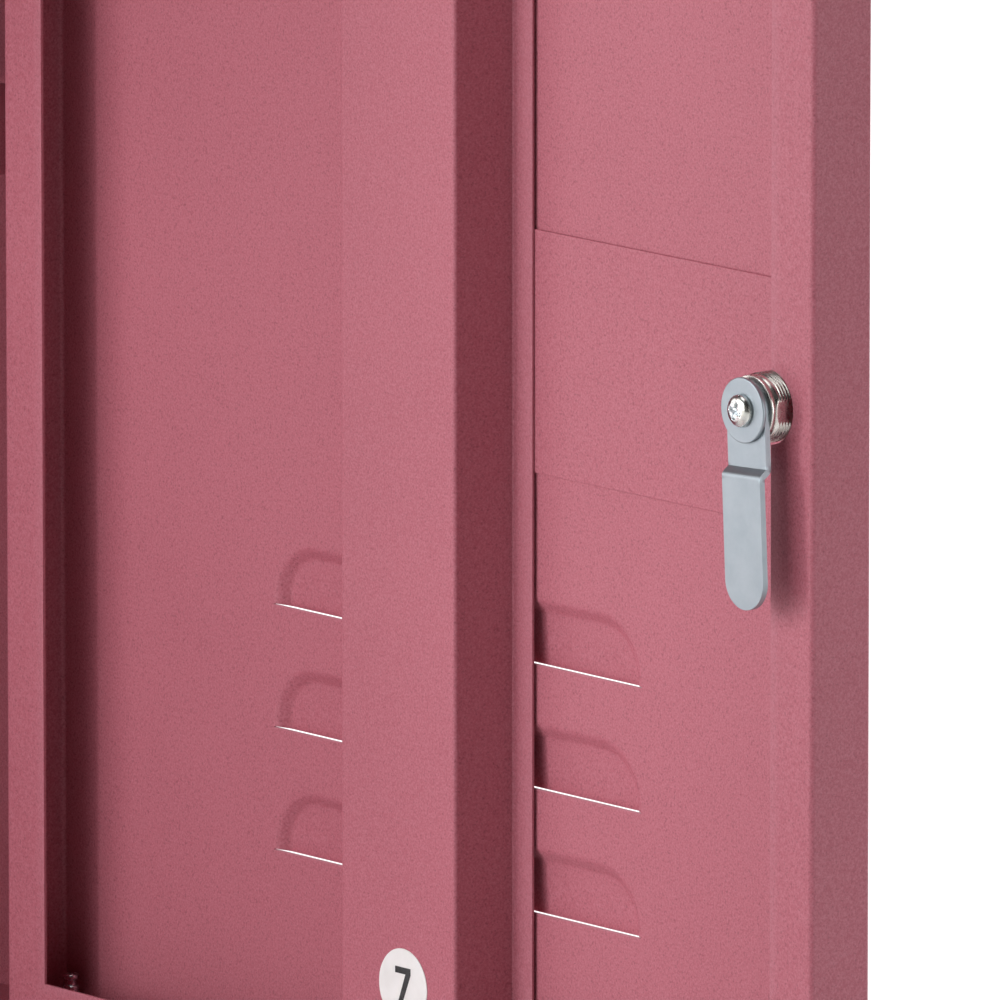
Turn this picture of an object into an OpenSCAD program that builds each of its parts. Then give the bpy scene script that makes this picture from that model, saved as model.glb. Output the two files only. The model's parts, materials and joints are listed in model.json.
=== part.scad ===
// Single-door steel locker cabinet with an inset, pin-hinged door and a cam lock.
// Frame: X to the right, Y to the back, Z up. Origin at the centre of the cabinet's base.
// The door is drawn standing open; its own frame is u (from the hinge edge towards the
// free edge), v (up from its bottom edge) and w (from its outer skin towards the inside).

/* [Door] */
// Width of the door leaf
door_w = 346; // [300:1:420]
// Height of the door leaf
door_h = 480; // [440:1:700]
// Depth of the folded door pan
door_d = 20.5; // [18:0.5:26]
// Width of the lip that frames the inner side of the door
lip_w = 17; // [12:0.5:20]
// Gap between the door and its frame
door_gap = 3; // [3:0.5:5]
// Angle at which the door stands open at rest
open_deg = 90; // [0:90:90]

/* [Stiffener] */
// Width of the face of the top-hat stiffener
hat_w = 49; // [30:1:80]
// Distance of the stiffener's centre line from the hinge edge
hat_u = 171.5; // [150:0.5:200]
// Width of each foot of the stiffener
hat_foot = 8.5; // [6:0.5:14]
// How far each wall of the stiffener leans out on its way down
hat_lean = 3.4; // [0:0.1:5]

/* [Louvers] */
// Length of a louver
louver_w = 157; // [100:1:220]
// Height of a louver
louver_h = 18; // [12:1:24]
// Depth to which a louver is pressed out
louver_d = 3; // [2:0.5:6]
// Distance from one louver to the next
louver_pitch = 34; // [26:1:50]
// Height of the lowest louver's slit above the door's bottom edge
louver_v = 64.6; // [40:0.1:90]
// Number of louvers in each group
louver_count = 3; // [1:1:3]

/* [Lock] */
// Distance of the lock's axis from the free edge
lock_inset = 18; // [17:0.5:24]
// Height of the lock's axis above the door's bottom edge
lock_v = 221; // [180:1:260]
// Diameter of the lock's threaded barrel
barrel_dia = 19; // [18:0.5:20]
// Length of the cam from the lock's axis to its tip
cam_len = 52.7; // [45:0.1:55]
// Width of the cam's strip
cam_w = 15.5; // [12:0.5:18]
// Angle of the cam from straight down, towards the free edge
cam_tilt = 3; // [0:1:4]
// Height of the reinforcing plate behind the lock
plate_h = 66; // [50:1:90]
// Distance of that plate's middle below the lock's axis
plate_drop = 3.5; // [0:0.5:8]

/* [Cabinet] */
// Depth of the cabinet
cabinet_d = 400; // [300:10:500]
// Width of each front jamb
jamb_w = 42; // [41:1:60]
// Height of the sill and of the header
rail_h = 38; // [30:1:60]
// Height of the shelf above the base
shelf_z = 290; // [250:1:330]
// Thickness of the panel sheet
sheet = 0.8; // [0.6:0.1:1.2]
// Thickness of the frame sheet
frame_sheet = 1.2; // [1:0.1:1.5]

/* [Hidden] */

$fn = 48;
eps = 0.01;
fit = 0.05;

paint = [0.72, 0.42, 0.47];
zinc = [0.74, 0.77, 0.79];
nickel = [0.78, 0.76, 0.72];

cabinet_w = door_w + 2 * door_gap + 2 * jamb_w;
cabinet_h = door_h + 2 * door_gap + 2 * rail_h;
half_w = cabinet_w / 2;
front_y = -cabinet_d / 2;
back_y = cabinet_d / 2;
door_z = rail_h + door_gap;
opening_x = door_w / 2 + door_gap;
jamb_d = 28.4;
jamb_lip = 20;
jamb_flange = 27;
rail_d = 25.2;
stop_drop = 10;
floor_z = 32;
pan_front_y = front_y + jamb_d + 0.3;
base_lip = 24;
plinth_top_lip = 12;
skirt_h = 20;
flange_w = 18;
clear = 0.3;

// Rubber bumpers in the sill and the header
bumper_x = [-150, 60];
bumper_z = rail_h + 5.5;
bumper_stem_r = 1.8;
bumper_r = 3.8;

// The hinge pins stand in the corners of the pan, near its outer skin
pin_u = 9;
pin_w = 5;
pin_r = 2.2;
pin_x = door_w / 2 - pin_u;
pin_y = front_y + pin_w;
bush_r = 3.6;
bush_flange_r = 4.8;

hat_top = door_d - sheet;
hat_gap = 0.8;
disc_u = 174;
disc_v = 41.5;
disc_r = 10.3;
disc_t = 0.3;
plate_t = 0.8;
lock_u = door_w - lock_inset;
barrel_r = barrel_dia / 2;
barrel_flat = 17;
barrel_end = 25.3;
thread_pitch = 1;
thread_depth = 0.6;
head_t = 2.5;
plug_r = 6;
ring_w = barrel_end + 0.3;
ring_t = 1.1;
cam_t = 1.7;
cam_z = ring_w + ring_t;
cam_joggle = 2.3;
joggle_start = 15.3;
joggle_end = 17.6;
washer_r = 8.7;
washer_t = 1.2;
washer_z = cam_z + cam_t;
screw_z = washer_z + washer_t;
screw_r = 2;
screw_head_r = 4.4;
screw_head_h = 2.6;
tenon = 7;
keyway_depth = 21;
keyway_t = 2.6;
keyway_h = 9;

shelf_side_gap = 3;
shelf_front_y = front_y + 50;
shelf_back_y = back_y - 4;
shelf_fold = 16;
shelf_hem = 9;
clip_holes = [-50, 0, 50];
clip_y = [front_y + 90, back_y - 60];
anchor_x = 150;
anchor_z = cabinet_h - 30;
anchor_r = 3.5;
panel_screw_r = 2;

// A box from its lowest corner to its highest corner
module block(lo, hi) {
    translate(lo) cube(hi - lo);
}

// Puts what is drawn in the door's frame where the open door stands
module on_door() {
    translate([pin_x, pin_y, 0]) rotate([0, 0, open_deg]) translate([-pin_x, -pin_y, 0])
        translate([door_w / 2, front_y, door_z]) rotate([90, 0, 180]) children();
}

// Puts what is drawn about the lock's axis in its place on the door
module on_lock() {
    on_door() translate([lock_u, lock_v, 0]) children();
}

// As on_lock, for what turns with the cam
module on_plug() {
    on_lock() rotate([0, 0, cam_tilt]) children();
}

// Draws its children on the left as they are, or mirrored for the right
module side(right) {
    mirror([right ? 1 : 0, 0, 0]) children();
}

// Places of the screws on one side panel, as [y, z]
side_screw_yz = [
    [front_y + 15, 100], [front_y + 15, cabinet_h - 62],
    [-60, cabinet_h - 11], [120, cabinet_h - 11], [-60, 20], [120, 20]
];
// Places of the screws on the back panel, as [x, z]
back_screw_xz = [for (s = [-1, 1]) for (z = [80, 240, cabinet_h - 70]) [s * (half_w - 12), z]];

// A pan-head screw with a cross recess, its head standing up from z = 0
module pan_screw(shank) {
    head_r = 3.8;
    head_h = 2.2;
    difference() {
        rotate_extrude() polygon([
            [0, 0], [head_r, 0], [head_r, 0.8], [head_r - 0.5, 1.5],
            [head_r - 1.4, 2.0], [0, head_h]
        ]);
        for (a = [0, 90]) rotate([0, 0, a]) translate([-1.8, -0.35, 1]) cube([3.6, 0.7, 2]);
    }
    translate([0, 0, -shank]) cylinder(r = panel_screw_r - 0.1, h = shank + eps);
}

// Side panel for the left, with a flange folded in behind the back panel
module side_shell() {
    difference() {
        union() {
            block([-half_w, front_y + frame_sheet, 0],
                  [-half_w + sheet, back_y - sheet, cabinet_h - sheet]);
            block([-half_w, back_y - 2 * sheet, 0],
                  [-half_w + flange_w, back_y - sheet, cabinet_h - sheet]);
        }
        for (p = side_screw_yz) translate([-half_w - 1, p[0], p[1]])
            rotate([0, 90, 0]) cylinder(r = panel_screw_r, h = 3);
        for (y = clip_y) for (dz = clip_holes) translate([-half_w - 1, y, shelf_z + dz - 6])
            rotate([0, 90, 0]) cylinder(r = panel_screw_r, h = 3);
        for (p = back_screw_xz) if (p[0] < 0) translate([p[0], back_y - 4, p[1]])
            rotate([-90, 0, 0]) cylinder(r = panel_screw_r, h = 5);
    }
}

module left_side_panel() {
    color(paint) side(false) side_shell();
}

module right_side_panel() {
    color(paint) side(true) side_shell();
}

// Back sheet with two holes for wall anchors
module back_panel() {
    color(paint) difference() {
        block([-half_w, back_y - sheet, 0], [half_w, back_y, cabinet_h - sheet]);
        for (x = [-anchor_x, anchor_x]) translate([x, back_y - 4, anchor_z])
            rotate([-90, 0, 0]) cylinder(r = anchor_r, h = 5);
        for (p = back_screw_xz) translate([p[0], back_y - 4, p[1]])
            rotate([-90, 0, 0]) cylinder(r = panel_screw_r, h = 5);
    }
}

// Cross holes for the screws that come in through both sides at one height
module cross_holes(y, z) {
    translate([-half_w, y, z]) rotate([0, 90, 0])
        cylinder(r = panel_screw_r, h = cabinet_w);
}

// Top pan: a plate over the whole cabinet with a skirt down each side
module top_panel() {
    color(paint) difference() {
        union() {
            block([-half_w, front_y, cabinet_h - sheet], [half_w, back_y, cabinet_h]);
            for (s = [0, 1]) mirror([s, 0, 0])
                block([-half_w + sheet, pan_front_y, cabinet_h - skirt_h],
                      [-half_w + 2 * sheet, back_y - 2 * sheet, cabinet_h - sheet + eps]);
        }
        for (p = side_screw_yz) if (p[1] > cabinet_h - skirt_h) cross_holes(p[0], p[1]);
    }
}

// Raised floor, with a tongue that reaches between the jambs to the sill
module bottom_panel() {
    x_out = half_w - sheet;
    color(paint) {
        block([-x_out, pan_front_y, floor_z - sheet], [x_out, back_y - 2 * sheet, floor_z]);
        block([-opening_x + 1, front_y + rail_d + clear, floor_z - sheet],
              [opening_x - 1, pan_front_y + eps, floor_z]);
    }
}

// Plinth: a frame of channel under the floor; its lower lip is the base the cabinet stands on
module plinth() {
    x_out = half_w - sheet;
    y_back = back_y - 2 * sheet;
    top = floor_z - sheet;
    color(paint) difference() {
        block([-x_out, pan_front_y, 0], [x_out, y_back, top]);
        block([-x_out + sheet, pan_front_y + sheet, sheet],
              [x_out - sheet, y_back - sheet, top - sheet]);
        block([-x_out + base_lip, pan_front_y + base_lip, -1],
              [x_out - base_lip, y_back - base_lip, sheet + 1]);
        block([-x_out + plinth_top_lip, pan_front_y + plinth_top_lip, top - sheet - 1],
              [x_out - plinth_top_lip, y_back - plinth_top_lip, top + 1]);
        for (p = side_screw_yz) if (p[1] < floor_z) cross_holes(p[0], p[1]);
    }
}

// Front jamb for the left: face, outer flange, inner return and the lip that the cam catches
module jamb_shell() {
    x_in = -opening_x;
    x_out = -half_w + sheet;
    top = cabinet_h - sheet;
    difference() {
        union() {
            block([-half_w, front_y, 0], [x_in, front_y + frame_sheet, top]);
            block([x_out, front_y, 0], [x_out + frame_sheet, front_y + jamb_flange, top]);
            block([x_in - frame_sheet, front_y, 0], [x_in, front_y + jamb_d, top]);
            block([x_in - jamb_lip, front_y + jamb_d - frame_sheet, 0],
                  [x_in, front_y + jamb_d, top]);
        }
        for (p = side_screw_yz) if (p[0] < front_y + jamb_flange)
            translate([x_out - 1, p[0], p[1]]) rotate([0, 90, 0])
                cylinder(r = panel_screw_r, h = 4);
    }
}

module left_jamb() {
    color(paint) side(false) jamb_shell();
}

module right_jamb() {
    color(paint) side(true) jamb_shell();
}

// Rail drawn as the sill: face, return under the door and the stop behind it
module rail_shell() {
    difference() {
        union() {
            block([-opening_x, front_y, 0], [opening_x, front_y + frame_sheet, rail_h]);
            block([-opening_x, front_y, rail_h - frame_sheet],
                  [opening_x, front_y + rail_d, rail_h]);
            block([-opening_x, front_y + rail_d - frame_sheet, rail_h - frame_sheet],
                  [opening_x, front_y + rail_d, rail_h + stop_drop]);
        }
        translate([pin_x, pin_y, rail_h - 3]) cylinder(r = bush_r, h = 6);
        for (x = bumper_x) translate([x, front_y + rail_d - 3, bumper_z]) rotate([-90, 0, 0])
            cylinder(r = bumper_stem_r, h = 5);
    }
}

// Draws its children at the sill as they are, or mirrored for the header
module rail_end(upper) {
    translate([0, 0, upper ? cabinet_h : 0]) mirror([0, 0, upper ? 1 : 0]) children();
}

module header_rail() {
    color(paint) difference() {
        rail_end(true) rail_shell();
        block([-half_w, front_y - 1, cabinet_h - sheet], [half_w, back_y, cabinet_h + 1]);
    }
}

module sill_rail() {
    color(paint) rail_end(false) rail_shell();
}

// Shelf with its front and back edges folded down and hemmed
module shelf() {
    x_out = half_w - sheet - shelf_side_gap;
    color(paint) {
        block([-x_out, shelf_front_y, shelf_z - sheet], [x_out, shelf_back_y, shelf_z]);
        for (e = [[shelf_front_y, 1], [shelf_back_y, -1]]) {
            y0 = e[1] > 0 ? e[0] : e[0] - sheet;
            block([-x_out, y0, shelf_z - shelf_fold], [x_out, y0 + sheet, shelf_z - eps]);
            h0 = e[1] > 0 ? e[0] : e[0] - shelf_hem;
            block([-x_out, h0, shelf_z - shelf_fold],
                  [x_out, h0 + shelf_hem, shelf_z - shelf_fold + sheet]);
        }
    }
}

// Four clips, each with a stud in the side panel and a tab under the shelf
module shelf_clips() {
    color(zinc) for (s = [0, 1]) mirror([s, 0, 0]) for (y = clip_y) {
        x = -half_w + sheet;
        top = shelf_z - sheet;
        block([x, y - 6, top - 14], [x + 1.2, y + 6, top]);
        block([x, y - 6, top - 1.2], [x + 14, y + 6, top]);
        translate([x - sheet, y, shelf_z - 6]) rotate([0, 90, 0])
            cylinder(r = panel_screw_r - 0.1, h = sheet + eps);
    }
}

module side_screws() {
    color(zinc) for (s = [0, 1]) mirror([s, 0, 0]) for (p = side_screw_yz)
        translate([-half_w, p[0], p[1]]) rotate([0, -90, 0]) pan_screw(7);
}

module back_screws() {
    color(zinc) for (p = back_screw_xz) translate([p[0], back_y, p[1]])
        rotate([-90, 0, 0]) pan_screw(7);
}

// A hexagon nut that stands up from z = 0
module hex_nut(r, bore_r, h) {
    difference() {
        cylinder(r = r, h = h, $fn = 6);
        translate([0, 0, -1]) cylinder(r = bore_r, h = h + 2);
    }
}

// One hexagon nut on the inner end of every panel screw
module panel_nuts() {
    nut_r = 4;
    nut_t = 2.6;
    color(zinc) {
        for (s = [0, 1]) mirror([s, 0, 0]) for (p = side_screw_yz) {
            inner = p[0] < front_y + jamb_flange ? frame_sheet : sheet;
            translate([-half_w + sheet + inner, p[0], p[1]]) rotate([0, 90, 0])
                hex_nut(nut_r, panel_screw_r - 0.1, nut_t);
        }
        for (p = back_screw_xz) translate([p[0], back_y - 2 * sheet, p[1]])
            rotate([90, 0, 0]) hex_nut(nut_r, panel_screw_r - 0.1, nut_t);
    }
}

// Rubber domes pushed into the stops, which the closed door rests on
module bumper_shell() {
    pad_y = front_y + rail_d - frame_sheet;
    reach = pad_y - (front_y + door_d) - clear;
    for (x = bumper_x) translate([x, pad_y, bumper_z]) rotate([90, 0, 0]) {
        rotate_extrude() polygon([
            [0, 0], [bumper_r, 0], [bumper_r, reach - 1.2], [3, reach - 0.3],
            [1.6, reach], [0, reach]
        ]);
        translate([0, 0, -3]) cylinder(r = bumper_stem_r - 0.1, h = 3 + eps);
        translate([0, 0, -3.4]) cylinder(r1 = 1.2, r2 = 2.6, h = 1.8);
    }
}

module door_bumpers() {
    color([0.12, 0.12, 0.13]) {
        rail_end(false) bumper_shell();
        rail_end(true) bumper_shell();
    }
}

// Flanged bush pushed into the rail, in which a hinge pin turns
module bush_shell() {
    bush_top = rail_h + 1.5;
    translate([pin_x, pin_y, 0]) difference() {
        union() {
            translate([0, 0, rail_h - 5]) cylinder(r = bush_r, h = bush_top - rail_h + 5);
            translate([0, 0, rail_h]) cylinder(r = bush_flange_r, h = bush_top - rail_h);
        }
        translate([0, 0, rail_h - 7]) cylinder(r = pin_r + fit, h = 12);
    }
}

module upper_hinge_bush() {
    color("ivory") rail_end(true) bush_shell();
}

module lower_hinge_bush() {
    color("ivory") rail_end(false) bush_shell();
}

// Outline of a louver: a straight slit below and large round corners above
module louver_outline(grow) {
    r = louver_h - 1;
    x0 = -louver_w / 2 - grow;
    x1 = louver_w / 2 + grow;
    top = louver_h + grow;
    intersection() {
        union() {
            translate([x0 + r, -1]) square([x1 - x0 - 2 * r, top + 1]);
            for (x = [x0 + r, x1 - r]) translate([x, top - r]) circle(r = r);
            translate([x0, -1]) square([x1 - x0, top - r + 1]);
        }
        translate([x0, -0.001]) square([x1 - x0, top + 1]);
    }
}

// Space swept by a louver, sloping from the skin at its top down to its full depth
module louver_wedge(grow, depth) {
    intersection() {
        translate([0, 0, -depth - 1]) linear_extrude(height = depth + 3) louver_outline(grow);
        translate([-louver_w, 0, 0]) rotate([90, 0, 90]) linear_extrude(height = 2 * louver_w)
            polygon([
                [-5, 2], [-5, -depth], [0, -depth], [louver_h + grow, -depth * 0.3],
                [louver_h + grow, 2]
            ]);
    }
}

// Heights of all the louver slits on the door
louver_slits = [
    for (i = [0 : louver_count - 1]) louver_v + i * louver_pitch,
    for (i = [0 : louver_count - 1]) door_h - louver_v - louver_h - i * louver_pitch
];

// Door pan: one sheet folded into a tray with a lip all round, louvers and the lock's hole
module door_pan() {
    color(paint) on_door() difference() {
        union() {
            cube([door_w, door_h, door_d]);
            for (v = louver_slits) translate([door_w / 2, v, 0]) intersection() {
                louver_wedge(sheet, louver_d + sheet);
                translate([-louver_w, 0, -louver_d - 2]) cube([2 * louver_w, 50, louver_d + 3]);
            }
        }
        block([sheet, sheet, sheet], [door_w - sheet, door_h - sheet, door_d - sheet]);
        block([lip_w, lip_w, sheet], [door_w - lip_w, door_h - lip_w, door_d + 1]);
        for (v = louver_slits) translate([door_w / 2, v, 0]) {
            louver_wedge(0, louver_d);
            translate([-louver_w / 2, -eps, -louver_d - 2])
                cube([louver_w, 2 * eps, louver_d + 2]);
        }
        translate([lock_u, lock_v, -1]) barrel_body(barrel_r + 0.1, sheet + 2);
        translate([lock_u, lock_v, door_d - 2]) cylinder(r = barrel_r + 0.5, h = 4);
        for (v = [-1, door_h - 3]) translate([pin_u, v, pin_w]) rotate([-90, 0, 0])
            cylinder(r = pin_r, h = 4);
    }
}

// Top-hat section welded up the middle of the door
module door_stiffener() {
    u0 = hat_u - hat_w / 2;
    u1 = hat_u + hat_w / 2;
    foot_w = sheet + hat_gap;
    v0 = 1.2;
    reach = hat_lean + hat_foot;
    color(paint) on_door() translate([0, door_h - v0, 0]) rotate([90, 0, 0])
        linear_extrude(height = door_h - 2 * v0) polygon([
            [u0 - reach, foot_w], [u0 - hat_lean + sheet, foot_w],
            [u0 + sheet, hat_top - sheet], [u1 - sheet, hat_top - sheet],
            [u1 + hat_lean - sheet, foot_w], [u1 + reach, foot_w],
            [u1 + reach, foot_w + sheet], [u1 + hat_lean, foot_w + sheet], [u1, hat_top],
            [u0, hat_top], [u0 - hat_lean, foot_w + sheet], [u0 - reach, foot_w + sheet]
        ]);
}

// Plate welded behind the lock, its near end under the stiffener's foot
module lock_plate() {
    u0 = hat_u + hat_w / 2 + hat_lean + 1;
    color(paint) on_door() difference() {
        block([u0, lock_v - plate_drop - plate_h / 2, sheet],
              [door_w - sheet, lock_v - plate_drop + plate_h / 2, sheet + plate_t]);
        translate([lock_u, lock_v, 0]) barrel_body(barrel_r + 0.1, 4);
    }
}

// Hinge pin for the bottom of the door: shoulder, body, neck and head
module pin_shell() {
    reach = door_gap + 7;
    translate([pin_u, 0, pin_w]) rotate([-90, 0, 0]) rotate_extrude() polygon([
        [0, -reach], [pin_r - 0.6, -reach], [pin_r, 1 - reach], [pin_r, -1.2],
        [4, -1.2], [4, 0], [pin_r, 0], [pin_r, 13.4], [1.4, 13.8], [1.4, 15.2],
        [2.1, 15.4], [2.1, 16.4], [1.8, 16.8], [0, 16.8]
    ]);
}

module lower_hinge_pin() {
    color(zinc) on_door() pin_shell();
}

module upper_hinge_pin() {
    color(zinc) on_door() translate([0, door_h, 0]) mirror([0, 1, 0]) pin_shell();
}

// Plain white disc for a locker number, stuck on the stiffener
module number_disc() {
    color("white") on_door() translate([disc_u, disc_v, hat_top])
        cylinder(r = disc_r, h = disc_t);
}

// Outside of the lock's barrel: a round bar with two flats
module barrel_body(r, h) {
    flat = barrel_flat + 2 * (r - barrel_r);
    intersection() {
        cylinder(r = r, h = h);
        translate([-flat / 2, -r, 0]) cube([flat, 2 * r, h]);
    }
}

// Lock housing: head, threaded barrel with two flats, and the bore in which the plug turns
module lock_housing() {
    turns = floor((barrel_end - 3) / thread_pitch);
    root = barrel_r - thread_depth;
    profile = concat(
        [[0, 0], [root, 0]],
        [for (i = [0 : turns - 1]) each [
            [root, 2 + i * thread_pitch],
            [barrel_r, 2 + (i + 0.4) * thread_pitch],
            [barrel_r, 2 + (i + 0.6) * thread_pitch]
        ]],
        [[root, 2 + turns * thread_pitch], [root, barrel_end - 0.6],
         [root - 0.6, barrel_end], [0, barrel_end]]
    );
    color(nickel) on_lock() difference() {
        union() {
            intersection() {
                rotate_extrude() polygon(profile);
                translate([-barrel_flat / 2, -20, 0]) cube([barrel_flat, 40, 40]);
            }
            translate([0, 0, -head_t]) rotate_extrude() polygon([
                [0, 0], [10, 0], [11.4, 0.6], [12, 1.6], [12, head_t], [0, head_t]
            ]);
        }
        translate([0, 0, -head_t - 1]) cylinder(r = plug_r + fit, h = barrel_end + head_t + 2);
        translate([0, 0, -head_t - 1]) cylinder(r = 8 + fit, h = 2.9);
    }
}

// Hexagon nut that holds the housing against the lock plate
module lock_nut() {
    across_flats = 24;
    nut_t = 4;
    color(nickel) on_lock() translate([0, 0, sheet + plate_t])
        hex_nut(across_flats / sqrt(3), barrel_r + fit, nut_t);
}

// Plug: head, barrel with the keyway, and the square tenon that drives the cam
module lock_plug() {
    color(nickel) on_plug() difference() {
        union() {
            translate([0, 0, -head_t]) cylinder(r = plug_r, h = barrel_end + head_t + 0.3);
            translate([0, 0, -head_t]) cylinder(r = 8, h = 1.6);
            translate([-tenon / 2, -tenon / 2, barrel_end])
                cube([tenon, tenon, washer_z - barrel_end]);
        }
        block([-keyway_t / 2, -keyway_h / 2, -head_t - 1],
              [keyway_t / 2, keyway_h / 2, keyway_depth - head_t + 1]);
        translate([0, 0, keyway_depth]) cylinder(r = screw_r, h = 20);
    }
}

// Thin ring between the barrel and the cam
module stop_ring() {
    color(nickel) on_plug() translate([0, 0, ring_w]) difference() {
        cylinder(r = 9, h = ring_t);
        translate([-tenon / 2, -tenon / 2, -1]) cube([tenon, tenon, 4]);
    }
}

// Cam: a round head on a strip that steps outwards and ends in a round tip
module lock_cam() {
    tip_v = -(cam_len - cam_w / 2);
    color(zinc) on_plug() difference() {
        union() {
            translate([0, 0, cam_z]) cylinder(r = cam_w / 2, h = cam_t);
            block([-cam_w / 2, -joggle_start, cam_z], [cam_w / 2, 0, cam_z + cam_t]);
            translate([-cam_w / 2, 0, cam_z]) rotate([90, 0, 90]) linear_extrude(height = cam_w)
                polygon([
                    [-joggle_start, 0], [-joggle_start, cam_t],
                    [-joggle_end, cam_t + cam_joggle], [tip_v, cam_t + cam_joggle],
                    [tip_v, cam_joggle], [-joggle_end, cam_joggle]
                ]);
            translate([0, tip_v, cam_z + cam_joggle]) cylinder(r = cam_w / 2, h = cam_t);
        }
        translate([-tenon / 2, -tenon / 2, cam_z - 1]) cube([tenon, tenon, cam_t + 2]);
    }
}

module cam_washer() {
    color(zinc) on_plug() translate([0, 0, washer_z]) difference() {
        cylinder(r = washer_r, h = washer_t);
        translate([0, 0, -1]) cylinder(r = screw_r, h = 4);
    }
}

// Cross-recessed screw that holds the cam on the plug
module cam_screw() {
    color(zinc) on_plug() translate([0, 0, screw_z]) {
        difference() {
            rotate_extrude() polygon([
                [0, 0], [screw_head_r, 0], [screw_head_r, 0.7], [screw_head_r - 0.5, 1.6],
                [screw_head_r - 1.6, 2.3], [0, screw_head_h]
            ]);
            for (a = [20, 110]) rotate([0, 0, a]) translate([-2.2, -0.4, 1.1])
                cube([4.4, 0.8, 3]);
        }
        translate([0, 0, -8]) cylinder(r = screw_r, h = 8 + eps);
    }
}

left_side_panel();
right_side_panel();
back_panel();
top_panel();
bottom_panel();
plinth();
left_jamb();
right_jamb();
header_rail();
sill_rail();
shelf();
shelf_clips();
side_screws();
back_screws();
panel_nuts();
door_bumpers();
upper_hinge_bush();
lower_hinge_bush();
door_pan();
door_stiffener();
lock_plate();
upper_hinge_pin();
lower_hinge_pin();
number_disc();
lock_housing();
lock_nut();
lock_plug();
stop_ring();
lock_cam();
cam_washer();
cam_screw();
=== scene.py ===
"""A steel locker cabinet with its louvered door standing open: sheet shells, lock and finishes."""
import json
import math

import bmesh
import bpy
import numpy as np
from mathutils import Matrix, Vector


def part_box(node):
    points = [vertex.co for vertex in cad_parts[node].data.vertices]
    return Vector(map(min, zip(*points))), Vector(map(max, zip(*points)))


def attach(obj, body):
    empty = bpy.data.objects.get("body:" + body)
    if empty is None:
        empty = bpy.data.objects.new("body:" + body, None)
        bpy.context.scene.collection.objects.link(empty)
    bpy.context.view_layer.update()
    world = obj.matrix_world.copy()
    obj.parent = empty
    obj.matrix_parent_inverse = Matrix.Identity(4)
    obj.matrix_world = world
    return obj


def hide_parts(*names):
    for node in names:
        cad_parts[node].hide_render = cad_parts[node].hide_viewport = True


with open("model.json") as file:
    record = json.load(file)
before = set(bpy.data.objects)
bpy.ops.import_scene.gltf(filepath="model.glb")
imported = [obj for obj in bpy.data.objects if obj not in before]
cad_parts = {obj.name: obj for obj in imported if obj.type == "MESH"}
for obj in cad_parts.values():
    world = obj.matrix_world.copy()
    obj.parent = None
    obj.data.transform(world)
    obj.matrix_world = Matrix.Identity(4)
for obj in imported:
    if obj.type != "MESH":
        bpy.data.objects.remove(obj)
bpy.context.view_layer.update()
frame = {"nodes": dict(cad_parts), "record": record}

MM = 0.001
# How far apart, in millimetres, two places on a mesh have to be to count as different
NEAR = 0.01
# How much of a folded sheet's outline shows the thin coat of a cut edge
OUTLINE_WEAR = 0.35

# ---------------------------------------------------------------------------------- places


def local_frame(origin, a, b, c):
    """Carries points given in millimetres along the axes a, b and c to the row frame."""
    axes = np.array([a, b, c], float) * MM
    start = np.array(origin, float)
    return lambda points: start + np.asarray(points, float).reshape(-1, 3) @ axes


# The door's own frame: u from the hinge edge, v up from its bottom, w from its outer skin inwards
DOOR_D = 20.5
pan_low, pan_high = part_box("door_pan")
door_origin = Vector((pan_low.x + DOOR_D * MM, pan_high.y, pan_low.z))
DOOR_W = (pan_high.y - pan_low.y) / MM
DOOR_H = (pan_high.z - pan_low.z) / MM
on_door = local_frame(door_origin, (0, -1, 0), (0, 0, 1), (-1, 0, 0))
in_cabinet = local_frame((0, 0, 0), (1, 0, 0), (0, 1, 0), (0, 0, 1))

# The lock's axis comes from its joint; what turns with the cam hangs a little towards the free edge
joints = {joint["name"]: joint for joint in frame["record"]["behaviour"]["joints"]}
lock_origin = Vector(joints["lock_turn"]["pos_m"])
LOCK_U = (door_origin.y - lock_origin.y) / MM
LOCK_V = (lock_origin.z - door_origin.z) / MM
CAM_TILT = math.radians(3)
on_lock = local_frame(lock_origin, (0, -1, 0), (0, 0, 1), (-1, 0, 0))
on_plug = local_frame(
    lock_origin,
    (0, -math.cos(CAM_TILT), math.sin(CAM_TILT)),
    (0, math.sin(CAM_TILT), math.cos(CAM_TILT)),
    (-1, 0, 0),
)

# ---------------------------------------------------------------------------------- camera

CAMERA_AZIMUTH = math.radians(-39)
CAMERA_RISE = math.radians(10.24)
CAMERA_DISTANCE = 5.326
CAMERA_AIM = (216.3, 180.5, DOOR_D)


def make_camera():
    """A long lens that looks at the middle of the door's lower half from the free edge's side."""
    aim = Vector(on_door([CAMERA_AIM])[0])
    outward = Vector((
        math.sin(CAMERA_AZIMUTH) * math.cos(CAMERA_RISE),
        -math.cos(CAMERA_AZIMUTH) * math.cos(CAMERA_RISE),
        math.sin(CAMERA_RISE),
    ))
    data = bpy.data.cameras.new("camera")
    data.sensor_width = 36
    data.lens = 720
    data.clip_start = 0.1
    data.clip_end = 100
    camera = bpy.data.objects.new("camera", data)
    bpy.context.scene.collection.objects.link(camera)
    camera.location = aim + outward * CAMERA_DISTANCE
    camera.rotation_euler = (-outward).to_track_quat("-Z", "Y").to_euler()
    bpy.context.scene.camera = camera


# ------------------------------------------------------------------------------ light, floor


def area_light(name, centre, target, width, height, power):
    """A rectangular softbox at centre that faces target."""
    data = bpy.data.lights.new(name, "AREA")
    data.shape = "RECTANGLE"
    data.size = width
    data.size_y = height
    data.energy = power
    light = bpy.data.objects.new(name, data)
    bpy.context.scene.collection.objects.link(light)
    light.visible_camera = False
    light.location = centre
    light.rotation_euler = (Vector(target) - Vector(centre)).to_track_quat("-Z", "Y").to_euler()


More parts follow.
